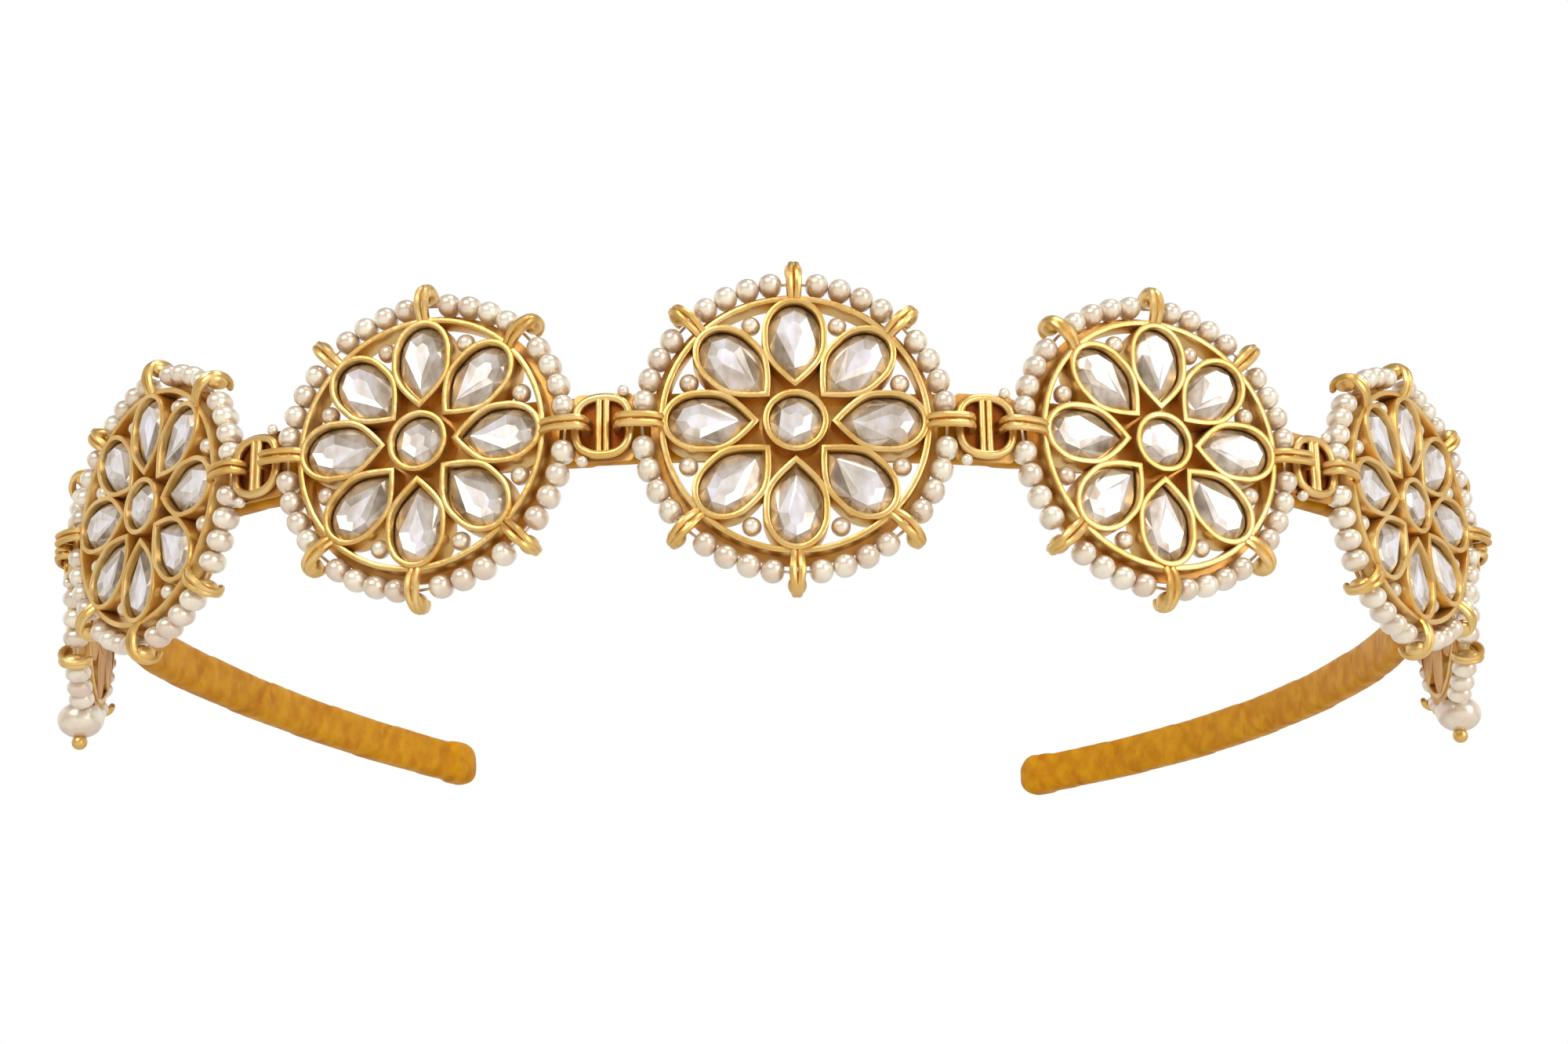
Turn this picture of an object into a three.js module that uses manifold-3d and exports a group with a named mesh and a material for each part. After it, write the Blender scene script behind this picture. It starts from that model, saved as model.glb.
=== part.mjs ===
// A hairband matha patti: a ribbon-wrapped band, open at the back, that carries seven round
// jewelled medallions linked edge to edge, with one large pearl under each end medallion.
// Millimetres, +Z up.  The band's plane is level, its middle faces -Y and its ends point to +Y.
// The origin is the inner face of the band at its middle, where it sits on the head.

import * as THREE from 'three';
import { mergeVertices } from 'three/addons/utils/BufferGeometryUtils.js';
import Module from 'manifold-3d';

const wasm = await Module();
wasm.setup();

// ---------------------------------------------------------------- driving dimensions

// The band's centre line is four arcs each side of its middle, cut into straight steps.  Its
// ends are not quite alike: the right one bends less sharply behind the ear and runs on longer.
const FRONT = { radius: 111.4, length: 31.8, steps: 3 };
const SHOULDER = { radius: 67.2, length: 31, steps: 3 };
const SIDE_RADIUS = 43.5;
const BAND_ARCS = {
  left: [FRONT, SHOULDER, { radius: SIDE_RADIUS, length: 46, steps: 5 }, { radius: 170, length: 67.4, steps: 3 }],
  right: [FRONT, SHOULDER, { radius: SIDE_RADIUS, length: 29.2, steps: 3 }, { radius: 97.3, length: 96.3, steps: 6 }],
};

// The band stands a little above the medallions' centres in front and sinks towards its legs.
const FRONT_RISE = 0.5;
const LEG_RISE = -2.4;
const SINK_START = 80;
const SINK_END = 108;

// The band's section is an upright strip with cut corners that leans outward at the top.  The
// corners take at most a set share of the thickness, for the thin ends of the knobs.
const BAND_THICKNESS = 2.4;
const BAND_CHAMFER = 0.8;
const BAND_CHAMFER_LIMIT = 1 / 3;
const BAND_LEAN = THREE.MathUtils.degToRad(3.2);

// The band is highest behind the medallions and lowest where the legs begin.
const BAND_HEIGHTS = [
  { arc: 0, height: 6.2 },
  { arc: 70, height: 6.1 },
  { arc: 105, height: 5.3 },
  { arc: 130, height: 5.3 },
  { arc: 165, height: 5.6 },
];

// Rounded knob that closes each end of the band: distance from the tip, and share of full size.
const KNOB_HEIGHT = 6.1;
const KNOB_THICKNESS = 3.2;
const KNOB_SECTIONS = [
  { fromTip: 6.2, size: 0 },
  { fromTip: 4.6, size: 1 },
  { fromTip: 1.6, size: 1 },
];
const KNOB_TIP_SHARE = 0.45;

// Medallions stand on the band's outer face, at these arc lengths from its middle.  The end ones
// turn a little away from the band towards its legs.
const MEDALLION_ARCS = [0, 31.8, 62.8, 92.6];
const MEDALLION_STAND_OFF = 3.3;
const END_MEDALLION_TURN = THREE.MathUtils.degToRad(3);
const PETALS = 8;
const PETAL_PITCH = (2 * Math.PI) / PETALS;
const RIGHT_TURN = 0;
const LEFT_TURN = (PETALS / 2) * PETAL_PITCH;
const DROP_TURN = ((PETALS * 3) / 4) * PETAL_PITCH;

// Setting: an outer ring, eight petal cups and a raised centre cup, pierced between them.
// Depths are measured from the plane of the pearl string, towards the viewer.
const SETTING_FRONT = 0.6;
const SETTING_BACK = -1.7;
const RING_RADIUS = 11.6;
const RING_WALL = 0.6;
const RING_SIDES = 16;
const CUP_WALL = 0.45;
const CENTRE_RADIUS = 2.95;
const CENTRE_FRONT = 1.05;
const CENTRE_SIDES = 8;
const CENTRE_TURN = Math.PI / CENTRE_SIDES;

// Half outline of a petal cup and of its pocket, from the inner tip to the round end.
const PETAL_OUTLINE = [
  { place: 'tip', radius: 2.4, halfWidth: 0, pocketRadius: 4, pocketHalfWidth: 0 },
  { place: 'shoulder', radius: 6.1, halfWidth: 2.62, pocketRadius: 6.3, pocketHalfWidth: 2.1 },
  { place: 'corner', radius: 9.7, halfWidth: 2.4, pocketRadius: 9.5, pocketHalfWidth: 1.95 },
  { place: 'end', radius: 11.6, halfWidth: 0, pocketRadius: 10.95, pocketHalfWidth: 0 },
];

// Stones sit in their cups on a small clearance, with a flat table above a sloping crown.
const POCKET_DEPTH = 1.2;
const STONE_CLEARANCE = 0.33;
const STONE_RISE = 0.15;
const STONE_TABLE_SHARE = 0.6;
const PETAL_STONE_MIDDLE = 7.9;

// The outer medallions' petal stones are one with their setting: how deep and how far in they start.
const JOINED_STONE_BACK = -0.85;
const JOINED_STONE_INSET = 0.22;

// Pearl string: small pearls on a thread that runs round the ring, under the prongs.  They are
// wider than they are long.
const STRING_RADIUS = 12.95;
const STRING_DEPTH = -0.5;
const PEARL_RADIUS = 1.25;
const THREAD_RADIUS = 0.2;
const PEARLS_PER_SIDE = 4;
const PEARL_PITCH = PETAL_PITCH / (PEARLS_PER_SIDE + 1);
const STRING_SIDES = 4;

// Prongs rise from the ring, arch over the thread and curl back behind it to a thick round end.
// Their side outline runs out along the front face and home along the inner face.
const PRONG_WIDTH = 1.4;
const PRONG_OUTLINE = [
  { radius: 11.2, depth: 0.6 },
  { radius: 12.1, depth: 1.15 },
  { radius: 13.3, depth: 1.25 },
  { radius: 14.6, depth: 0.8 },
  { radius: 15.2, depth: -0.2 },
  { radius: 15.05, depth: -1.4 },
  { radius: 14.2, depth: -2.2 },
  { radius: 13.6, depth: -2 },
  { radius: 13.45, depth: -1.3 },
  { radius: 13.45, depth: 0.2 },
  { radius: 12.9, depth: 0.6 },
  { radius: 12.3, depth: 0.6 },
  { radius: 11.2, depth: -0.1 },
];

// Hooks are straighter and bend down into the links between neighbouring medallions.
const HOOK_WIDTH = 1.3;
const HOOK_ROOT = 11.2;
const HOOK_SINK = 0.15;
const HOOK_TOP = 1.55;
const HOOK_UNDERSIDE = 1;
const HOOK_END = 15.35;
const HOOK_THICKNESS = 0.42;
const HOOK_DEPTH = -1.4;

// Links: an oval wire ring with two upright bars across its middle.
const LINK_HALF_WIDTH = 2.75;
const LINK_HALF_HEIGHT = 3;
const LINK_WIRE = 0.65;
const LINK_FRONT = -0.17;
const LINK_SEGMENTS = 8;
const LINK_SLOT_HALF = 0.16;
const LINK_BAR = 0.36;

// Large pearl under each end medallion, on a pin from the ring that ends in a small ball.
const DROP_RADIUS = 2.4;
const DROP_HALF_HEIGHT = 1.95;
const DROP_CENTRE = 13.72;
const DROP_BORE = 0.62;
const DROP_SIDES = 7;
const PIN_RADIUS = 0.25;
const PIN_BALL_RADIUS = 0.65;
const PIN_SIDES = 6;

// Cutting tools run past the faces that they cut, and vertices this close are one.
const CUT_MARGIN = 1;
const WELD_DISTANCE = 1e-4;

// ---------------------------------------------------------------- materials

const gold = new THREE.MeshStandardMaterial({ color: 0xd9a24b, roughness: 0.25, metalness: 1 });
const ribbon = new THREE.MeshStandardMaterial({ color: 0xc78a15, roughness: 0.5, metalness: 0 });
const pearl = new THREE.MeshStandardMaterial({ color: 0xf2e9df, roughness: 0.25, metalness: 0 });
const crystal = new THREE.MeshStandardMaterial({ color: 0xe6e2dc, roughness: 0.08, metalness: 0.2 });

// ---------------------------------------------------------------- solid tools

// The closed solid of a geometry, ready for cutting and joining.
function solidOf(geometry) {
  const bare = geometry.clone();
  bare.deleteAttribute('normal');
  bare.deleteAttribute('uv');
  const welded = mergeVertices(bare, WELD_DISTANCE);
  return new wasm.Manifold(new wasm.Mesh({
    numProp: 3,
    vertProperties: new Float32Array(welded.attributes.position.array),
    triVerts: new Uint32Array(welded.index.array),
  }));
}

function geometryOf(solid) {
  const mesh = solid.getMesh();
  const geometry = new THREE.BufferGeometry();
  geometry.setAttribute('position', new THREE.BufferAttribute(new Float32Array(mesh.vertProperties), 3));
  geometry.setIndex(new THREE.BufferAttribute(new Uint32Array(mesh.triVerts), 1));
  geometry.computeVertexNormals();
  return geometry;
}

// A skin over rings of points.  Each ring turns anticlockwise when seen against the run.
function loft(rings, isLoop) {
  const count = rings[0].length;
  const positions = rings.flat().flatMap((point) => [point.x, point.y, point.z]);
  const faces = [];
  const spans = isLoop ? rings.length : rings.length - 1;
  for (let ring = 0; ring < spans; ring += 1) {
    const here = ring * count;
    const next = ((ring + 1) % rings.length) * count;
    for (let side = 0; side < count; side += 1) {
      const beside = (side + 1) % count;
      faces.push(here + side, here + beside, next + beside);
      faces.push(here + side, next + beside, next + side);
    }
  }
  if (!isLoop) {
    const last = (rings.length - 1) * count;
    for (let side = 1; side < count - 1; side += 1) {
      faces.push(0, side + 1, side);
      faces.push(last, last + side, last + side + 1);
    }
  }
  const geometry = new THREE.BufferGeometry();
  geometry.setAttribute('position', new THREE.Float32BufferAttribute(positions, 3));
  geometry.setIndex(faces);
  geometry.computeVertexNormals();
  return geometry;
}

// A flat outline raised from one depth to another.
function plate(shape, back, front) {
  const geometry = new THREE.ExtrudeGeometry(shape, { depth: front - back, bevelEnabled: false });
  return geometry.translate(0, 0, back);
}

function polygonShape(points) {
  return new THREE.Shape(points.map((point) => new THREE.Vector2(point.x, point.y)));
}

function regularShape(sides, radius, turn) {
  const points = [];
  for (let corner = 0; corner < sides; corner += 1) {
    const angle = turn + (corner * 2 * Math.PI) / sides;
    points.push(new THREE.Vector2(radius * Math.cos(angle), radius * Math.sin(angle)));
  }
  return new THREE.Shape(points);
}

// ---------------------------------------------------------------- the band's centre line

// Place and heading at an arc length from the middle, which is negative on the left side.
function bandAt(arc) {
  const side = arc < 0 ? -1 : 1;
  let x = 0;
  let y = -BAND_THICKNESS / 2;
  let heading = 0;
  let rest = Math.abs(arc);
  for (const { radius, length } of arc < 0 ? BAND_ARCS.left : BAND_ARCS.right) {
    const run = Math.min(rest, length);
    const end = heading + run / radius;
    x += radius * (Math.sin(end) - Math.sin(heading));
    y += radius * (Math.cos(heading) - Math.cos(end));
    heading = end;
    rest -= run;
  }
  const turned = side * heading;
  const along = new THREE.Vector3(Math.cos(turned), Math.sin(turned), 0);
  const level = new THREE.Vector3(Math.sin(turned), -Math.cos(turned), 0);
  const rise = new THREE.Vector3(0, 0, 1);
  const lean = new THREE.Quaternion().setFromAxisAngle(along, BAND_LEAN);
  const out = level.applyQuaternion(lean);
  const up = rise.applyQuaternion(lean);
  return { point: new THREE.Vector3(side * x, y, 0), along, out, up };
}

// A group at a point, whose X runs along the band, Y up its face and Z outward.
function seatGroup(point, along, up, out) {
  const group = new THREE.Group();
  group.position.copy(point);
  group.setRotationFromMatrix(new THREE.Matrix4().makeBasis(along, up, out));
  return group;
}

// ---------------------------------------------------------------- band

function bandRise(arc) {
  return THREE.MathUtils.mapLinear(
    THREE.MathUtils.clamp(Math.abs(arc), SINK_START, SINK_END),
    SINK_START, SINK_END, FRONT_RISE, LEG_RISE,
  );
}

function bandSection(arc, height, thickness) {
  const { point, out, up } = bandAt(arc);
  point.z += bandRise(arc);
  const corner = Math.min(BAND_CHAMFER, thickness * BAND_CHAMFER_LIMIT);
  const halfHeight = height / 2;
  const halfThickness = thickness / 2;
  const outline = [
    [halfThickness - corner, -halfHeight],
    [-halfThickness + corner, -halfHeight],
    [-halfThickness, -halfHeight + corner],
    [-halfThickness, halfHeight - corner],
    [-halfThickness + corner, halfHeight],
    [halfThickness - corner, halfHeight],
    [halfThickness, halfHeight - corner],
    [halfThickness, -halfHeight + corner],
  ];
  return outline.map(([outward, upward]) => (
    point.clone().addScaledVector(out, outward).addScaledVector(up, upward)
  ));
}

function bandHeight(arc) {
  const next = BAND_HEIGHTS.findIndex((row) => row.arc > arc);
  if (next < 0) {
    return BAND_HEIGHTS[BAND_HEIGHTS.length - 1].height;
  }
  const from = BAND_HEIGHTS[next - 1];
  const to = BAND_HEIGHTS[next];
  return THREE.MathUtils.lerp(from.height, to.height, (arc - from.arc) / (to.arc - from.arc));
}

// The sections of one half, from the middle of the band to its tip.
function halfRows(arcs) {
  const halfLength = arcs.reduce((sum, arc) => sum + arc.length, 0);
  const rows = [];
  let start = 0;
  for (const { length, steps } of arcs) {
    const end = Math.min(start + length, halfLength - KNOB_SECTIONS[0].fromTip);
    for (let step = 0; step < steps; step += 1) {
      rows.push({ arc: start + ((end - start) * step) / steps, size: 0 });
    }
    start += length;
  }
  for (const { fromTip, size } of KNOB_SECTIONS) {
    rows.push({ arc: halfLength - fromTip, size });
  }
  const sized = rows.map(({ arc, size }) => {
    return {
      arc,
      height: THREE.MathUtils.lerp(bandHeight(arc), KNOB_HEIGHT, size),
      thickness: THREE.MathUtils.lerp(BAND_THICKNESS, KNOB_THICKNESS, size),
    };
  });
  sized.push({
    arc: halfLength,
    height: KNOB_HEIGHT * KNOB_TIP_SHARE,
    thickness: KNOB_THICKNESS * KNOB_TIP_SHARE,
  });
  return sized;
}

function bandRings() {
  const left = halfRows(BAND_ARCS.left).slice(1).reverse();
  const mirrored = left.map((row) => ({ ...row, arc: -row.arc }));
  const rows = [...mirrored, ...halfRows(BAND_ARCS.right)];
  return rows.map(({ arc, height, thickness }) => bandSection(arc, height, thickness));
}

function makeBand() {
  const mesh = new THREE.Mesh(loft(bandRings(), false), ribbon);
  mesh.name = 'hair_band';
  return mesh;
}

// ---------------------------------------------------------------- medallion settings

// Both halves of a petal's outline, turned to its place round the medallion.
function petalPoints(radiusColumn, widthColumn, turn) {
  const half = PETAL_OUTLINE.map((row) => new THREE.Vector2(row[radiusColumn], row[widthColumn]));
  const lower = half.slice(0, -1).map((point) => new THREE.Vector2(point.x, -point.y));
  const upper = half.slice(1).reverse();
  const centre = new THREE.Vector2(0, 0);
  return [...lower, ...upper].map((point) => point.clone().rotateAround(centre, turn));
}

// The pocket's outline drawn in towards its middle by a distance.
function petalStonePoints(turn, inset, share) {
  const widest = Math.max(...PETAL_OUTLINE.map((row) => row.pocketHalfWidth));
  const scale = ((widest - inset) / widest) * share;
  const middle = new THREE.Vector2(PETAL_STONE_MIDDLE, 0).rotateAround(new THREE.Vector2(0, 0), turn);
  return petalPoints('pocketRadius', 'pocketHalfWidth', turn).map((point) => (
    point.clone().sub(middle).multiplyScalar(scale).add(middle)
  ));
}

function ringOfPoints(points, depth) {
  return points.map((point) => new THREE.Vector3(point.x, point.y, depth));
}

function frustum(basePoints, tablePoints, back, front) {
  return loft([ringOfPoints(basePoints, back), ringOfPoints(tablePoints, front)], false);
}

function petalStoneGeometry(turn, back, inset) {
  const base = petalStonePoints(turn, inset, 1);
  const table = petalStonePoints(turn, inset, STONE_TABLE_SHARE);
  return frustum(base, table, back, SETTING_FRONT + STONE_RISE);
}

function centreStoneGeometry() {
  const radius = CENTRE_RADIUS - CUP_WALL - STONE_CLEARANCE;
  const back = CENTRE_FRONT - POCKET_DEPTH + STONE_CLEARANCE;
  const base = regularShape(CENTRE_SIDES, radius, CENTRE_TURN).getPoints();
  const table = regularShape(CENTRE_SIDES, radius * STONE_TABLE_SHARE, CENTRE_TURN).getPoints();
  return frustum(base, table, back, CENTRE_FRONT + STONE_RISE);
}

// A bar bent in the plane of the medallion's axis, from rows of radius and depth.
function bentBar(rows, width, turn) {
  const shape = new THREE.Shape(rows.map(({ radius, depth }) => new THREE.Vector2(radius, depth)));
  const geometry = new THREE.ExtrudeGeometry(shape, { depth: width, bevelEnabled: false });
  geometry.translate(0, 0, -width / 2);
  geometry.rotateX(Math.PI / 2);
  return geometry.rotateZ(turn);
}

function hookProng(turn) {
  const inner = HOOK_END - HOOK_THICKNESS;
  const rows = [
    { radius: HOOK_ROOT, depth: SETTING_FRONT - HOOK_SINK },
    { radius: inner, depth: HOOK_UNDERSIDE },
    { radius: inner, depth: HOOK_DEPTH },
    { radius: HOOK_END, depth: HOOK_DEPTH },
    { radius: HOOK_END, depth: HOOK_TOP },
    { radius: HOOK_ROOT, depth: HOOK_TOP },
  ];
  return bentBar(rows, HOOK_WIDTH, turn);
}

// The pin under an end medallion, from inside the ring's wall to the ball below the pearl.
function dropPin() {
  const ballCentre = DROP_CENTRE + DROP_HALF_HEIGHT + PIN_BALL_RADIUS;
  const top = RING_RADIUS - RING_WALL / 2;
  const neck = Math.sqrt(PIN_BALL_RADIUS ** 2 - PIN_RADIUS ** 2);
  const profile = [
    new THREE.Vector2(0, top),
    new THREE.Vector2(PIN_RADIUS, top),
    new THREE.Vector2(PIN_RADIUS, ballCentre - neck),
    new THREE.Vector2(PIN_BALL_RADIUS, ballCentre),
    new THREE.Vector2(0, ballCentre + PIN_BALL_RADIUS),
  ];
  return new THREE.LatheGeometry(profile, PIN_SIDES).rotateZ(Math.PI);
}

function makeSetting(place) {
  const outer = plate(regularShape(RING_SIDES, RING_RADIUS, 0), SETTING_BACK, SETTING_FRONT);
  const hole = regularShape(RING_SIDES, RING_RADIUS - RING_WALL, 0);
  const inner = plate(hole, SETTING_BACK - CUT_MARGIN, SETTING_FRONT + CUT_MARGIN);
  let solid = solidOf(outer).subtract(solidOf(inner));
  const turns = Array.from({ length: PETALS }, (unused, petal) => petal * PETAL_PITCH);
  for (const turn of turns) {
    const outline = polygonShape(petalPoints('radius', 'halfWidth', turn));
    solid = solid.add(solidOf(plate(outline, SETTING_BACK, SETTING_FRONT)));
  }
  const cup = regularShape(CENTRE_SIDES, CENTRE_RADIUS, CENTRE_TURN);
  solid = solid.add(solidOf(plate(cup, SETTING_BACK, CENTRE_FRONT)));
  for (const turn of turns) {
    if (place.stonesApart) {
      const outline = polygonShape(petalPoints('pocketRadius', 'pocketHalfWidth', turn));
      const pocket = plate(outline, SETTING_FRONT - POCKET_DEPTH, SETTING_FRONT + CUT_MARGIN);
      solid = solid.subtract(solidOf(pocket));
    } else {
      solid = solid.add(solidOf(petalStoneGeometry(turn, JOINED_STONE_BACK, JOINED_STONE_INSET)));
    }
  }
  const well = regularShape(CENTRE_SIDES, CENTRE_RADIUS - CUP_WALL, CENTRE_TURN);
  solid = solid.subtract(solidOf(plate(well, CENTRE_FRONT - POCKET_DEPTH, CENTRE_FRONT + CUT_MARGIN)));
  for (const turn of turns) {
    const isHook = place.hookTurns.includes(turn);
    const isDrop = place.hasDrop && turn === DROP_TURN;
    if (isHook) {
      solid = solid.add(solidOf(hookProng(turn)));
    } else if (!isDrop) {
      solid = solid.add(solidOf(bentBar(PRONG_OUTLINE, PRONG_WIDTH, turn)));
    }
  }
  if (place.hasDrop) {
    solid = solid.add(solidOf(dropPin()));
  }
  const mesh = new THREE.Mesh(geometryOf(solid.asOriginal()), gold);
  mesh.name = `setting_${place.name}`;
  return mesh;
}

// ---------------------------------------------------------------- pearls

// One square section of the string: its angle round the ring and its half size.
function stringSection(angle, size) {
  const outward = new THREE.Vector3(Math.cos(angle), Math.sin(angle), 0);
  const middle = outward.clone().multiplyScalar(STRING_RADIUS);
  const points = [];
  for (let side = 0; side < STRING_SIDES; side += 1) {
    const turn = (-side * 2 * Math.PI) / STRING_SIDES;
    const point = middle.clone().addScaledVector(outward, size * Math.cos(turn));
    point.z += STRING_DEPTH + size * Math.sin(turn);
    points.push(point);
  }
  return points;
}

// Pearls stand at every pitch except under a prong.  A string with a drop is open at its foot.
function makePearlString(place) {
  const rings = [];
  const slots = PETALS * (PEARLS_PER_SIDE + 1);
  const skipped = place.hasDrop ? 1 : 0;
  for (let slot = 0; slot < slots; slot += 1) {
    const angle = DROP_TURN + slot * PEARL_PITCH;
    const isUnderProng = slot % (PEARLS_PER_SIDE + 1) === 0;
    const isBesideDrop = slot <= skipped || slot >= slots - skipped;
    if (isUnderProng || (place.hasDrop && isBesideDrop)) {
      continue;
    }
    const startsRun = (slot - 1) % (PEARLS_PER_SIDE + 1) === 0 || (place.hasDrop && slot === skipped + 1);
    if (startsRun) {
      rings.push(stringSection(angle - PEARL_PITCH / 2, THREAD_RADIUS));
    }
    rings.push(stringSection(angle, PEARL_RADIUS));
    rings.push(stringSection(angle + PEARL_PITCH / 2, THREAD_RADIUS));
  }
  const mesh = new THREE.Mesh(loft(rings, !place.hasDrop), pearl);
  mesh.name = `pearls_${place.name}`;
  return mesh;
}

// A bored pearl on the pin under an end medallion.
function makeDropPearl(place) {
  const shoulderRadius = DROP_RADIUS * Math.SQRT1_2;
  const shoulderHeight = DROP_HALF_HEIGHT * Math.SQRT1_2;
  const boreEnd = DROP_HALF_HEIGHT * Math.sqrt(1 - (DROP_BORE / DROP_RADIUS) ** 2);
  const profile = [
    new THREE.Vector2(DROP_BORE, -boreEnd),
    new THREE.Vector2(shoulderRadius, -shoulderHeight),
    new THREE.Vector2(DROP_RADIUS, 0),
    new THREE.Vector2(shoulderRadius, shoulderHeight),
    new THREE.Vector2(DROP_BORE, boreEnd),
    new THREE.Vector2(DROP_BORE, -boreEnd),
  ];
  const mesh = new THREE.Mesh(new THREE.LatheGeometry(profile, DROP_SIDES), pearl);
  mesh.name = `drop_pearl_${place.name}`;
  mesh.position.set(0, -DROP_CENTRE, 0);
  return mesh;
}

// ---------------------------------------------------------------- stones

function makeCentreStone(place) {
  const mesh = new THREE.Mesh(centreStoneGeometry(), crystal);
  mesh.name = `centre_stone_${place.name}`;
  return mesh;
}

function makePetalStones(place) {
  const back = SETTING_FRONT - POCKET_DEPTH + STONE_CLEARANCE;
  return Array.from({ length: PETALS }, (unused, petal) => {
    const mesh = new THREE.Mesh(petalStoneGeometry(petal * PETAL_PITCH, back, STONE_CLEARANCE), crystal);
    mesh.name = `petal_stone_${place.name}_${petal + 1}`;
    return mesh;
  });
}

// ---------------------------------------------------------------- links

function ovalPoints(halfWidth, halfHeight, from, to, steps) {
  return Array.from({ length: steps + 1 }, (unused, step) => {
    const angle = from + ((to - from) * step) / steps;
    return new THREE.Vector2(halfWidth * Math.cos(angle), halfHeight * Math.sin(angle));
  });
}

// The D-shaped opening on one side of the bars, where a hook comes in.
function linkWindow(side) {
  const halfWidth = LINK_HALF_WIDTH - LINK_WIRE;
  const halfHeight = LINK_HALF_HEIGHT - LINK_WIRE;
  const barEdge = LINK_SLOT_HALF + LINK_BAR;
  const reach = Math.acos(barEdge / halfWidth);
  const points = ovalPoints(halfWidth, halfHeight, -reach, reach, LINK_SEGMENTS / 2);
  return new THREE.Path(points.map((point) => new THREE.Vector2(side * point.x, point.y)));
}

function makeLink(name) {
  const outline = ovalPoints(LINK_HALF_WIDTH, LINK_HALF_HEIGHT, 0, 2 * Math.PI, LINK_SEGMENTS);
  const shape = new THREE.Shape(outline.slice(1));
  const slotHeight = LINK_HALF_HEIGHT - LINK_WIRE;
  const slot = new THREE.Path([
    new THREE.Vector2(-LINK_SLOT_HALF, -slotHeight),
    new THREE.Vector2(LINK_SLOT_HALF, -slotHeight),
    new THREE.Vector2(LINK_SLOT_HALF, slotHeight),
    new THREE.Vector2(-LINK_SLOT_HALF, slotHeight),
  ]);
  shape.holes.push(linkWindow(1), linkWindow(-1), slot);
  const mesh = new THREE.Mesh(plate(shape, LINK_FRONT - LINK_WIRE, LINK_FRONT), gold);
  mesh.name = name;
  return mesh;
}

// ---------------------------------------------------------------- assembly

const LAST = MEDALLION_ARCS.length - 1;

// One row for each medallion, from the left end to the right end.
const places = [];
for (let step = -LAST; step <= LAST; step += 1) {
  const rank = Math.abs(step);
  const sideName = step < 0 ? 'left' : 'right';
  const hookTurns = [];
  if (step > -LAST) {
    hookTurns.push(LEFT_TURN);
  }
  if (step < LAST) {
    hookTurns.push(RIGHT_TURN);
  }
  places.push({
    name: rank === 0 ? 'middle' : `${sideName}_${rank}`,
    arc: Math.sign(step) * MEDALLION_ARCS[rank],
    hasDrop: rank === LAST,
    stonesApart: rank <= 1,
    hookTurns,
  });
}

const mathaPatti = new THREE.Group();
mathaPatti.add(makeBand());

const seats = places.map((place) => {
  const { point, along, out, up } = bandAt(place.arc);
  const seat = seatGroup(point.clone().addScaledVector(out, MEDALLION_STAND_OFF), along, up, out);
  if (place.hasDrop) {
    seat.rotateY(-Math.sign(place.arc) * END_MEDALLION_TURN);
  }
  seat.add(makeSetting(place), makePearlString(place), makeCentreStone(place));
  if (place.stonesApart) {
    seat.add(...makePetalStones(place));
  }
  if (place.hasDrop) {
    seat.add(makeDropPearl(place));
  }
  mathaPatti.add(seat);
  return seat;
});

// Each link lies midway between the hooks of two medallions and faces the mean of their ways.
for (let gap = 0; gap < seats.length - 1; gap += 1) {
  const left = seats[gap];
  const right = seats[gap + 1];
  const reach = HOOK_END - HOOK_THICKNESS / 2;
  const leftHook = new THREE.Vector3(reach, 0, 0).applyQuaternion(left.quaternion).add(left.position);
  const rightHook = new THREE.Vector3(-reach, 0, 0).applyQuaternion(right.quaternion).add(right.position);
  const leftAlong = new THREE.Vector3(1, 0, 0).applyQuaternion(left.quaternion);
  const rightAlong = new THREE.Vector3(1, 0, 0).applyQuaternion(right.quaternion);
  const along = leftAlong.add(rightAlong).normalize();
  const leftOut = new THREE.Vector3(0, 0, 1).applyQuaternion(left.quaternion);
  const rightOut = new THREE.Vector3(0, 0, 1).applyQuaternion(right.quaternion);
  const up = leftOut.add(rightOut).cross(along).normalize();
  const out = along.clone().cross(up);
  const group = seatGroup(leftHook.lerp(rightHook, 0.5), along, up, out);
  group.add(makeLink(`link_${gap + 1}`));
  mathaPatti.add(group);
}

export default mathaPatti;
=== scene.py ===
"""A hairband matha patti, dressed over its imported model.

A springy band wound with gold satin ribbon carries seven round kundan medallions, linked edge
to edge.  Each has eight petal stones round a centre stone and a string of seed pearls.
"""

import math
import random

import bmesh
import bpy
from mathutils import Matrix, Vector, geometry, noise


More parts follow.
